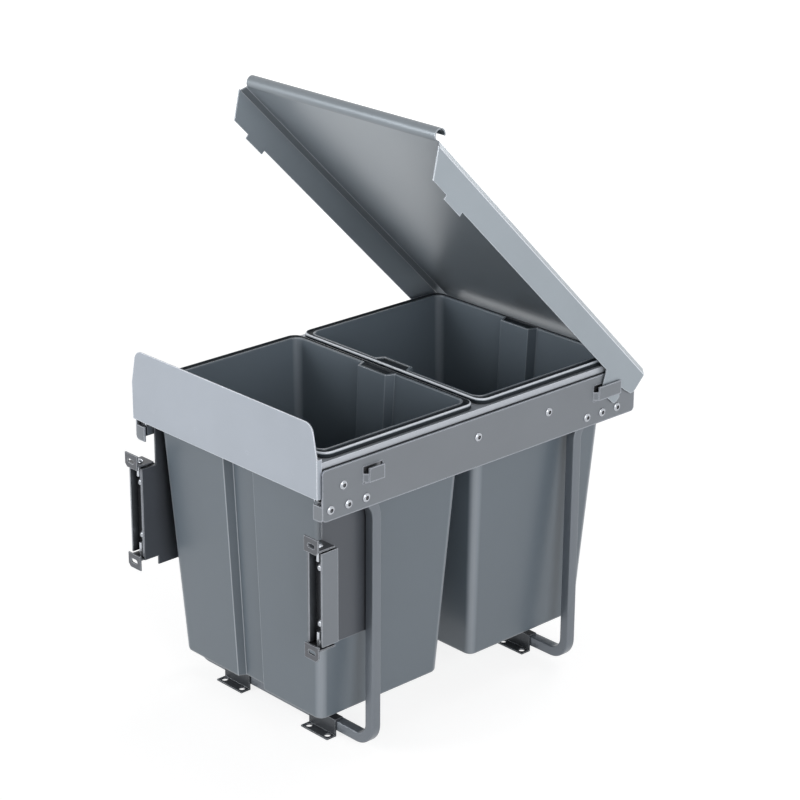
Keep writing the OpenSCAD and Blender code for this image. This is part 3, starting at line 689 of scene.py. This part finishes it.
def head_tree() -> GeometryNodeTree:
    """Build the tree that sets one head on each point, turned to the point's facing.

    Returns:
        The tree, with the head, its sizes and its finish as named inputs.
    """
    tree = new_group("heads_on_points",
                     [("Points", "Geometry", None), ("Head", "Object", None),
                      ("Radius", "Float", None), ("Height", "Float", None),
                      ("Finish", "Material", None)],
                     [("Geometry", "Geometry")], "GeometryNodeTree")
    source = tree.nodes["in"].outputs
    head = add(tree, "GeometryNodeObjectInfo", Object=source["Head"])
    facing = add(tree, "GeometryNodeInputNamedAttribute", {"data_type": "FLOAT_VECTOR"},
                 Name="facing")
    turn = add(tree, "FunctionNodeAlignRotationToVector", {"axis": "Z"},
               Vector=facing.outputs["Attribute"])
    size = add(tree, "ShaderNodeCombineXYZ", X=source["Radius"], Y=source["Radius"],
               Z=source["Height"])
    stamped = add(tree, "GeometryNodeInstanceOnPoints", Points=source["Points"],
                  Instance=head.outputs["Geometry"], Rotation=turn.outputs[0],
                  Scale=size.outputs[0])
    return end_tree(tree, stamped.outputs[0])


def grow(name: str, mesh: Mesh, tree: GeometryNodeTree, **inputs: object) -> Object:
    """Let a Geometry Nodes tree grow a piece from a mesh of points and lines.

    Args:
        name: Name of the object.
        mesh: The points and lines.
        tree: The tree.
        **inputs: Value of each input, by the name of its socket.

    Returns:
        The object as a plain mesh.
    """
    thing = put(name, mesh)
    modifier = thing.modifiers.new(name, "NODES")
    modifier.node_group = tree
    identifiers = {item.name: item.identifier for item in tree.interface.items_tree
                   if item.item_type == "SOCKET" and item.in_out == "INPUT"}
    for label, value in inputs.items():
        modifier[identifiers[label]] = value
    return settle(thing)


@dataclass
class Heads:
    """Identical heads, such as those of rivets, each set where it belongs."""

    name: str
    outline: Sequence[tuple[float, float]]
    radius: float
    height: float
    spots: Sequence[tuple[Point, Point]]

    @staticmethod
    def recess_shade(spot: Vector) -> float:
        """Return the painted shade at a point of the pattern head: its recess is dark."""
        return 0.93 if 0.0 < spot.z < 0.95 and spot.xy.length < 0.43 else 0.0

    def build(self, tree: GeometryNodeTree) -> Object:
        """Stamp the heads.

        Args:
            tree: The tree that sets heads on points.

        Returns:
            One object that holds all the heads.
        """
        head = turned(f"{self.name}_pattern", self.outline)
        mark(head.data, "soil", [self.recess_shade(v.co) for v in head.data.vertices], "POINT")
        mesh = bpy.data.meshes.new(self.name)
        mesh.from_pydata([place(*spot) for spot, _ in self.spots], [], [])
        facing = mesh.attributes.new("facing", "FLOAT_VECTOR", "POINT")
        facing.data.foreach_set("vector", [c for _, way in self.spots for c in way])
        thing = grow(self.name, mesh, tree, Head=head, Radius=self.radius * MM,
                     Height=self.height * MM, Finish=MATERIALS["fastener_zinc"])
        bpy.data.objects.remove(head)
        thing.data.shade_smooth()
        thing.data.set_sharp_from_angle(angle=math.radians(TURNED_ANGLE))
        return thing


# Half outline of a button head with a radius and a height of one
BUTTON_HEAD = ((0.0, -0.3), (0.96, -0.3), (0.98, 0.02), (1.0, 0.12), (0.985, 0.28), (0.93, 0.48),
               (0.84, 0.68), (0.72, 0.85), (0.60, 0.95), (0.50, 1.0), (0.45, 0.985),
               (0.42, 0.90), (0.40, 0.42), (0.34, 0.30), (0.0, 0.28))


@dataclass
class Fasteners:
    """The two rows of rivets on each side panel."""

    rivet_radius: float = 4.2
    rivet_height: float = 1.6
    panel_x: float = 127.0
    leg_row_z: float = 251.5
    slide_z: float = 270.4
    leg_row_y: tuple[float, ...] = (13.3, 33.3, 53.3, 325.3, 345.3, 365.3)
    slide_row_y: tuple[float, ...] = (27.6, 185.5, 274.2)

    def row(self, ys: Sequence[float], z: float) -> list[tuple[Point, Point]]:
        """List the spots of one row on both panels."""
        return [((s * self.panel_x, y, z), (float(s), 0.0, 0.0)) for s in SIDES for y in ys]

    def build(self) -> None:
        """Build the heads and let them stand for the CAD rivets."""
        tree = head_tree()
        for name, ys, z in (("leg_rivet", self.leg_row_y, self.leg_row_z),
                            ("slide_rivet", self.slide_row_y, self.slide_z)):
            heads = Heads(f"{name}_heads", BUTTON_HEAD, self.rivet_radius, self.rivet_height,
                          self.row(ys, z))
            dress(heads.build(tree), "fastener_zinc", "frame", f"{name}s")


# Bent tubes


def tube_tree() -> GeometryNodeTree:
    """Build the tree that bends a rounded square tube along a line of straight runs.

    Returns:
        The tree, with the tube's width and corner as named inputs. The runs' points hold
        the radius of each bend.
    """
    tree = new_group("bent_tube",
                     [("Runs", "Geometry", None), ("Width", "Float", None),
                      ("Corner", "Float", None), ("Finish", "Material", None)],
                     [("Geometry", "Geometry")], "GeometryNodeTree")
    source = tree.nodes["in"].outputs
    line = add(tree, "GeometryNodeMeshToCurve", Mesh=source["Runs"])
    bend = add(tree, "GeometryNodeInputNamedAttribute", {"data_type": "FLOAT"}, Name="bend")
    bent = add(tree, "GeometryNodeFilletCurve", {"mode": "POLY"}, Curve=line.outputs[0],
               Radius=bend.outputs["Attribute"], Count=14)
    square = add(tree, "GeometryNodeCurvePrimitiveQuadrilateral", Width=source["Width"],
                 Height=source["Width"])
    section = add(tree, "GeometryNodeFilletCurve", {"mode": "POLY"}, Curve=square.outputs[0],
                  Radius=source["Corner"], Count=5)
    skin = add(tree, "GeometryNodeCurveToMesh", Curve=bent.outputs[0],
               Profile_Curve=section.outputs[0], Fill_Caps=True)
    return end_tree(tree, skin.outputs[0])


@dataclass
class Legs:
    """The two bent legs."""

    width: float = 10.0
    corner: float = 1.3
    low_bend: float = 17.0
    centre_x: float = 120.5
    run_z: float = 251.5
    floor_z: float = 10.5
    runs: dict[str, tuple[float, float, float]] = field(default_factory=lambda: {
        "leg_front": (67.3, 8.0, 24.0), "leg_rear": (315.4, 375.0, 20.0)})

    def build(self) -> None:
        """Bend both legs and dress them."""
        tree = tube_tree()
        for node, (y, end_y, top_bend) in self.runs.items():
            x, low, high = self.centre_x, self.floor_z, self.run_z
            path = [(x, end_y, high), (x, y, high), (x, y, low),
                    (-x, y, low), (-x, y, high), (-x, end_y, high)]
            mesh = bpy.data.meshes.new(f"{node}_tube")
            mesh.from_pydata([place(*p) for p in path], [(i, i + 1) for i in range(5)], [])
            bends = (0.0, top_bend, self.low_bend, self.low_bend, top_bend, 0.0)
            mark(mesh, "bend", [radius * MM for radius in bends], "POINT")
            thing = grow(f"{node}_tube", mesh, tree, Width=self.width * MM,
                         Corner=self.corner * MM, Finish=MATERIALS["leg_paint"])
            shape = bmesh.new()
            shape.from_mesh(thing.data)
            bmesh.ops.remove_doubles(shape, verts=shape.verts, dist=RUN_MERGE)
            bmesh.ops.recalc_face_normals(shape, faces=shape.faces)
            bpy.data.objects.remove(thing)
            dress(object_of(f"{node}_tube", shape), "leg_paint", "frame", node)


# Bins

STRAIGHT = math.radians(89.9)
CORNER_ROOM = 0.48


def fillet(corners: Sequence[tuple[float, float, float]], steps: int) -> list[tuple[float, float]]:
    """Round each corner of a closed outline with the same number of points.

    Args:
        corners: X, Y and radius of each corner, in order.
        steps: Points on each corner.

    Returns:
        The rounded outline. A corner on a straight line gets points spread along it.
    """
    outline: list[tuple[float, float]] = []
    count = len(corners)
    for i, (x, y, radius) in enumerate(corners):
        here = Vector((x, y))
        back = Vector(corners[i - 1][:2]) - here
        ahead = Vector(corners[(i + 1) % count][:2]) - here
        room = CORNER_ROOM * min(back.length, ahead.length)
        back.normalize()
        ahead.normalize()
        half = math.acos(max(-1.0, min(1.0, back.dot(ahead)))) / 2
        if half > STRAIGHT:
            for k in range(steps):
                t = (k / (steps - 1) - 0.5) * 2 * min(1.0, room)
                point = here + ahead * t
                outline.append((point.x, point.y))
            continue
        reach = min(radius / math.tan(half), room)
        radius = reach * math.tan(half)
        middle = (back + ahead).normalized()
        centre = here + middle * (radius / math.sin(half))
        start = here + back * reach - centre
        end = here + ahead * reach - centre
        sweep = start.angle_signed(end)
        for k in range(steps):
            turned_by = -sweep * k / (steps - 1)
            point = centre + Vector((
                start.x * math.cos(turned_by) - start.y * math.sin(turned_by),
                start.x * math.sin(turned_by) + start.y * math.cos(turned_by)))
            outline.append((point.x, point.y))
    return outline


@dataclass(frozen=True)
class Ring:
    """One ring of a bin's shell: where it runs, its share of the groove, its painted shade and
    painted highlight.
    """

    z: float
    inset: float = 0.0
    rim: float | None = None
    groove: float = 1.0
    soil: float = 0.0
    rub: float = 0.0


@dataclass
class Bin:
    """A moulded bin: tapered walls, a groove front and back and a turned-down rim."""

    name: str
    body: str
    centre_y: float
    half_top: tuple[float, float] = (113.0, 85.0)
    half_base: tuple[float, float] = (94.8, 71.5)
    half_rim: tuple[float, float] = (120.5, 89.0)
    base_z: float = 34.3
    height: float = 266.0
    wall: float = 2.0
    lip: float = 5.0
    corner: float = 8.0
    groove_half: float = 18.0
    groove_floor: float = 14.5
    groove_depth: float = 7.0
    corner_growth: float = 0.19
    groove_growth: float = 0.15
    groove_draft: float = 0.8
    rim_corner: float = 11.0
    inner_highlight: float = 0.10
    corner_highlight: float = 0.22
    groove_highlight: float = 0.42
    steps: int = 6

    def outline(self, ring: Ring) -> list[Vector]:
        """Make the points of one ring.

        Args:
            ring: The ring. Its inset is the distance inside the wall's outer face, and its
                rim, where it has one, the distance inside the rim's outer edge.

        Returns:
            The points, the same number for each ring.
        """
        share = ring.z / self.height
        half_x, half_y = (low + (high - low) * share
                          for low, high in zip(self.half_base, self.half_top))
        stretch = half_y / self.half_base[1]
        small, soft = 1.0, 1.2
        if ring.rim is None:
            a, b = half_x - ring.inset, half_y - ring.inset
            radius = max(self.corner * (1 + self.corner_growth * share) - ring.inset, soft)
        else:
            a, b = self.half_rim[0] - ring.rim, self.half_rim[1] - ring.rim
            radius = self.rim_corner - ring.rim
        depth = self.groove_depth * stretch
        wide, floor = (half * (1 + self.groove_growth * share) + ring.inset * self.groove_draft
                       for half in (self.groove_half, self.groove_floor))
        bottom = half_y - depth - ring.inset
        groove_y = b + (bottom - b) * ring.groove
        corners = []
        for s in (1, -1):
            corners += [(s * a, -s * b, radius), (s * a, s * b, radius),
                        (s * wide, s * b, soft), (s * floor, s * groove_y, small),
                        (-s * floor, s * groove_y, small), (-s * wide, s * b, soft)]
        return [place(x, self.centre_y + y, self.base_z + ring.z)
                for x, y in fillet(corners, self.steps)]

    def shell_rings(self) -> list[Ring]:
        """List the rings of the shell, from the outer bottom over the rim to the floor.

        Returns:
            The rings, in order.
        """
        top, wall, lip = self.height, self.wall, self.lip
        under, dip = top - 1.7, top - 1.6
        outside = [Ring(0.0, 3.4), Ring(0.25, 2.0), Ring(1.0, 0.8), Ring(2.2, 0.2), Ring(3.6)]
        levels = (40.0, 90.0, 140.0, 190.0, 230.0)
        outside += [Ring(z) for z in (*levels, top - 14.0, top - 5.0, under - 0.8)]
        outside.append(Ring(under - 0.2, groove=0.9))
        across = self.half_rim[1] - self.half_top[1] - 0.6
        # Painted shade darkens the skirt under the rim; a painted highlight lightens the bead.
        skirt = [Ring(z, rim=rim, groove=0.0, soil=0.92) for z, rim in (
            (under, across), (under, wall + 0.5), (under - 0.3, wall), (top - lip + 0.3, wall),
            (top - lip, wall - 0.3), (top - lip, 0.3), (top - lip + 0.3, 0.0), (top - 2.2, 0.0))]
        bead = [Ring(z, rim=rim, groove=0.0, rub=rub) for z, rim, rub in (
            (top - 1.7, 0.0, 0.0), (top - 1.2, 0.06, 0.5), (top - 0.4, 0.38, 1.0),
            (top, 1.1, 0.8))]
        # Painted shade darkens the channel.
        channel = [Ring(z, rim=rim, groove=0.0, soil=0.88) for z, rim in (
            (top, 1.6), (dip + 0.2, 2.1), (dip, 2.5))]
        channel += [Ring(dip, -0.7, soil=0.88), Ring(dip + 0.2, -0.4, soil=0.88)]
        mouth = [Ring(top, 0.1), Ring(top, wall - 0.8), Ring(top - 0.3, wall - 0.25)]
        # Painted shade darkens the inside, more towards the bottom.
        inside = [Ring(z, wall + inset, soil=min((top - z) / 3000, 0.10)) for z, inset in (
            (top - 1.0, 0.0), (top - 8.0, 0.0), *((level, 0.0) for level in reversed(levels)),
            (9.0, 0.0), (5.0, 0.5), (3.2, 1.6), (wall + 0.3, 3.4), (wall, 5.6))]
        return outside + skirt + bead + channel + mouth + inside

    def tint(self, thing: Object, rings: Sequence[Ring], count: int) -> None:
        """Paint shade on the rim's skirt and channel and on the inside, and paint highlights on the
        bead, the corners and the groove's edges.

        Args:
            thing: The shell.
            rings: Its rings.
            count: Points in each ring.
        """
        wide_corners = (0, 1, 6, 7)
        highlights = []
        for i in range(len(thing.data.vertices)):
            ring = rings[i // count]
            corner, step = divmod(i % count, self.steps)
            turn = math.sin(math.pi * step / (self.steps - 1))
            if ring.rim is not None or ring.soil > 0.5:
                share = 0.0
            elif ring.soil:
                share = self.inner_highlight
            else:
                share = self.corner_highlight if corner in wide_corners else self.groove_highlight
            highlights.append(max(ring.rub, share * turn))
        mark(thing.data, "soil", [ring.soil for ring in rings for _ in range(count)], "POINT")
        mark(thing.data, "rub", highlights, "POINT")

    def build(self) -> None:
        """Loft the rings into a closed shell and dress it."""
        rings = self.shell_rings()
        outlines = [self.outline(ring) for ring in rings]
        count = len(outlines[0])
        verts = [v for outline in outlines for v in outline]
        faces = ring_faces(len(rings), count)
        last = (len(rings) - 1) * count
        faces.append(tuple(reversed(range(count))))
        faces.append(tuple(last + i for i in range(count)))
        piece = object_from(f"{self.name}_shell", verts, faces, TURNED_ANGLE)
        if len(piece.data.vertices) != len(verts):
            raise ValueError(f"{self.name}: rings touch")
        self.tint(piece, rings, count)
        even(piece)
        dress(piece, "bin_plastic", self.body, self.name)


# Lid


@dataclass
class Lid:
    """The folded lid: soft shoulders, thin flanges and a rolled front edge."""

    node: str = "lid"
    fold: float = 1.3
    fold_turns: tuple[float, float] = (15.0, 75.0)
    shortest_fold: float = 200.0
    edge: float = 0.28
    opened: float = 45.0
    hinge: Point = (0.0, 359.0, 272.5)
    roll_start: float = 344.0
    roll_shade: float = 0.33
    under_shade: float = 0.12
    shoulder_shade: float = 0.30
    lengthwise: float = 0.9999
    flat: float = 0.9
    sloped: float = 0.3

    def tint(self, thing: Object, along: Vector) -> None:
        """Paint shade, which also dulls the coat, on the rolled edge, inside the shoulders and,
        less, under the lid.

        Args:
            thing: The lid.
            along: The way from the hinge to the rolled edge.
        """
        hinge = place(*self.hinge)
        below = Vector((1.0, 0.0, 0.0)).cross(along)
        if below.z > 0:
            below.negate()
        shades = []
        for face in thing.data.polygons:
            facing = face.normal.dot(below)
            if (face.center - hinge).dot(along) > self.roll_start * MM:
                shades.append(self.roll_shade)
            elif facing > self.flat:
                shades.append(self.under_shade)
            else:
                shades.append(self.shoulder_shade if facing > self.sloped else 0.0)
        mark(thing.data, "soil", shades)

    def build(self) -> None:
        """Round the long folds more than the cut edges, and dress the lid."""
        shape = merged_copy(self.node)
        opened = math.radians(self.opened)
        along = Vector((0.0, -math.cos(opened), math.sin(opened)))
        folds = []
        for edge in shape.edges:
            run = edge.verts[1].co - edge.verts[0].co
            if run.length < self.shortest_fold * MM or len(edge.link_faces) != 2:
                continue
            if abs(run.normalized().dot(along)) < self.lengthwise:
                continue
            turn = math.degrees(edge.calc_face_angle(0.0))
            if self.fold_turns[0] < turn < self.fold_turns[1]:
                folds.append(edge)
        log.info("lid: %d folds", len(folds))
        bmesh.ops.bevel(shape, geom=folds, offset=self.fold * MM, offset_type="OFFSET",
                        segments=5, profile=0.5, affect="EDGES", clamp_overlap=True)
        piece = object_of("lid_sheet", shape)
        soften(piece, self.edge, angle=ROUNDED_ANGLE)
        highlight_strips(piece, 0.7)
        self.tint(piece, along)
        dress(piece, "lid_paint", "lid_body", self.node)


# Stage

WHITE = (1.0, 1.0, 1.0, 1.0)
LAMP_TARGET = (0.0, 0.0, 0.25)


@dataclass(frozen=True)
class View:
    """The camera of the photograph."""

    azimuth: float = 46.90
    elevation: float = 21.25
    roll: float = 0.36
    lens: float = 111.52
    distance: float = 2303.4
    target: Point = (-22.5, 231.4, 250.0)
    sensor: float = 36.0
    far: float = 50.0

    def build(self) -> None:
        """Set up the camera."""
        az, el, roll = (math.radians(v) for v in (self.azimuth, self.elevation, self.roll))
        back = Vector((math.sin(az) * math.cos(el), -math.cos(az) * math.cos(el), math.sin(el)))
        right = Vector((math.cos(az), math.sin(az), 0.0))
        up = back.cross(right)
        tilted = right * math.cos(roll) + up * math.sin(roll)
        rise = up * math.cos(roll) - right * math.sin(roll)
        data = bpy.data.cameras.new("photo_view")
        data.sensor_width = self.sensor
        data.sensor_fit = "HORIZONTAL"
        data.lens = self.lens
        data.clip_end = self.far
        camera = put("photo_view", data)
        turn = Matrix((tilted, rise, back)).transposed()
        spot = place(*self.target) + back * self.distance * MM
        camera.matrix_world = Matrix.Translation(spot) @ turn.to_4x4()
        bpy.context.scene.camera = camera


@dataclass(frozen=True)
class Lamp:
    """A soft lamp that looks at the object."""

    name: str
    spot: Point
    size: float
    power: float

    def build(self) -> None:
        """Hang the lamp."""
        data = bpy.data.lights.new(self.name, "AREA")
        data.shape = "SQUARE"
        data.size = self.size
        data.energy = self.power
        lamp = put(self.name, data)
        lamp.location = self.spot
        aim = Vector(LAMP_TARGET) - Vector(self.spot)
        lamp.rotation_euler = aim.to_track_quat("-Z", "Y").to_euler()


LAMPS = (
    Lamp("front_lamp", (-1.5, -2.8, 1.1), 1.6, 44.8),
    Lamp("side_lamp", (2.8, -0.8, 1.2), 1.6, 38.0),
    Lamp("top_lamp", (0.2, 0.6, 2.9), 1.0, 7.0),
    Lamp("back_lamp", (-0.6, 2.9, 1.6), 1.6, 30.0),
)


def background_rays(tree: NodeTree) -> NodeSocket:
    """Pick the rays that show the background: those of the camera, of metal and of glass.

    Args:
        tree: Node tree of the floor or the world.

    Returns:
        A socket that is 1 for those rays and 0 for the rest.
    """
    path = add(tree, "ShaderNodeLightPath").outputs
    seen = math_node(tree, "MAXIMUM", path["Is Camera Ray"], path["Is Glossy Ray"])
    return math_node(tree, "MAXIMUM", seen, path["Is Transmission Ray"])


@dataclass(frozen=True)
class Studio:
    """The pale floor, the white background and the light of the room."""

    half: float = 4.0
    paint: float = 0.86
    lift: float = 0.6
    fade: tuple[float, float] = (0.7, 2.2)
    glow: float = 1.36
    room: float = 0.62
    zenith: float = 0.10
    climb: tuple[float, float] = (0.1, 0.85)

    def floor(self) -> None:
        """Lay the floor, which shows white to the camera and keeps a soft shadow."""
        half = self.half
        thing = object_from("floor", [Vector((x, y, 0.0)) for x, y in
                                      ((-half, -half), (half, -half), (half, half), (-half, half))],
                            [(0, 1, 2, 3)])
        material = node_material("floor")
        tree = material.node_tree
        diffuse = add(tree, "ShaderNodeBsdfDiffuse", Color=(*[self.paint] * 3, 1.0))
        white = add(tree, "ShaderNodeEmission", Color=WHITE, Strength=self.glow)
        spot = add(tree, "ShaderNodeTexCoord").outputs["Object"]
        away = add(tree, "ShaderNodeVectorMath", {"operation": "LENGTH"}, i0=spot)
        fade = add(tree, "ShaderNodeMapRange", {"interpolation_type": "SMOOTHSTEP"},
                   Value=away.outputs["Value"], From_Min=self.fade[0], From_Max=self.fade[1],
                   To_Min=self.lift, To_Max=1.0)
        share = math_node(tree, "MULTIPLY", background_rays(tree), fade.outputs[0])
        mixed = add(tree, "ShaderNodeMixShader", i0=share, i1=diffuse.outputs[0],
                    i2=white.outputs[0])
        add(tree, "ShaderNodeOutputMaterial", Surface=mixed.outputs[0])
        thing.data.materials.append(material)

    def world(self) -> None:
        """Light the room evenly and show white behind the object."""
        world = bpy.data.worlds.new("room")
        world.use_nodes = True
        tree = world.node_tree
        tree.nodes.clear()
        white = add(tree, "ShaderNodeBackground", Color=WHITE, Strength=1.0)
        way = add(tree, "ShaderNodeSeparateXYZ",
                  Vector=add(tree, "ShaderNodeTexCoord").outputs["Generated"])
        climb = add(tree, "ShaderNodeMapRange", {"interpolation_type": "SMOOTHSTEP"},
                    Value=way.outputs["Z"], From_Min=self.climb[0], From_Max=self.climb[1],
                    To_Min=self.room, To_Max=self.zenith)
        room = add(tree, "ShaderNodeBackground", Color=WHITE, Strength=climb.outputs[0])
        mixed = add(tree, "ShaderNodeMixShader", i0=background_rays(tree),
                    i1=room.outputs[0], i2=white.outputs[0])
        add(tree, "ShaderNodeOutputWorld", Surface=mixed.outputs[0])
        bpy.context.scene.world = world

    def build(self) -> None:
        """Build the floor, the world and the lamps."""
        self.floor()
        self.world()
        for lamp in LAMPS:
            lamp.build()
        bpy.context.scene.view_settings.view_transform = "Standard"


def pair(kind: str, slot: str, width: float) -> dict[str, tuple[str, float]]:
    """List the left and the right piece of a kind, with their finish and rounding."""
    return {f"{kind}_{side}": (slot, width) for side in ("left", "right")}


FRAME_SHEETS = SheetParts("frame", {
    **pair("side_panel", "panel_paint", 0.6),
    **pair("floor_clip_front", "clip_paint", 0.3), **pair("floor_clip_rear", "clip_paint", 0.3),
    **pair("slide_fixed", "slide_steel", 0.2), "hinge_studs": ("fastener_zinc", 0.3),
})
MIDDLE_SHEETS = SheetParts("slide_middles", pair("slide_middle", "slide_steel", 0.2))
CARRIAGE_SHEETS = SheetParts("carriage", {
    **pair("slide_inner", "slide_steel", 0.2), **pair("carriage_rail", "rail_paint", 0.25),
    **dict.fromkeys(("crossbar_front", "crossbar_middle", "crossbar_rear"), ("rail_paint", 0.25)),
    "front_plate": ("plate_paint", 0.55),
    **pair("hanger", "hanger_paint", 0.35), **pair("channel", "channel_paint", 0.35),
    "bracket_bolts": ("fastener_zinc", 0.4), "bracket_nuts": ("fastener_zinc", 0.4),
}, seam_nodes=("carriage_rail_left", "carriage_rail_right"))
BRACKET_SHEETS = tuple(
    SheetParts(f"door_bracket_{side[0]}", {
        f"door_bracket_{side}": ("bracket_paint", 0.3),
        f"height_screws_{side}": ("fastener_zinc", 0.4)})
    for side in ("left", "right"))


def finish_cad_nodes() -> None:
    """Give the CAD nodes that stay in view their finishes."""
    for entry in frame["record"]["subparts"]:
        node = frame["nodes"][entry["node"]]
        node.data.materials.clear()
        node.data.materials.append(MATERIALS[entry["material_slot"]])


def main() -> None:
    """Build the finishes, the pieces and the stage."""
    logging.basicConfig(level=logging.INFO, format="%(name)s: %(message)s")
    for finish in FINISHES:
        MATERIALS[finish.name] = finish.build()
    finish_cad_nodes()
    for part in (FRAME_SHEETS, MIDDLE_SHEETS, CARRIAGE_SHEETS, *BRACKET_SHEETS, Legs(),
                 Fasteners(), Bin("front_bin", "bin_front", 100.0),
                 Bin("rear_bin", "bin_rear", 283.3), Lid(), View(), Studio()):
        part.build()


if __name__ == "__main__":
    main()
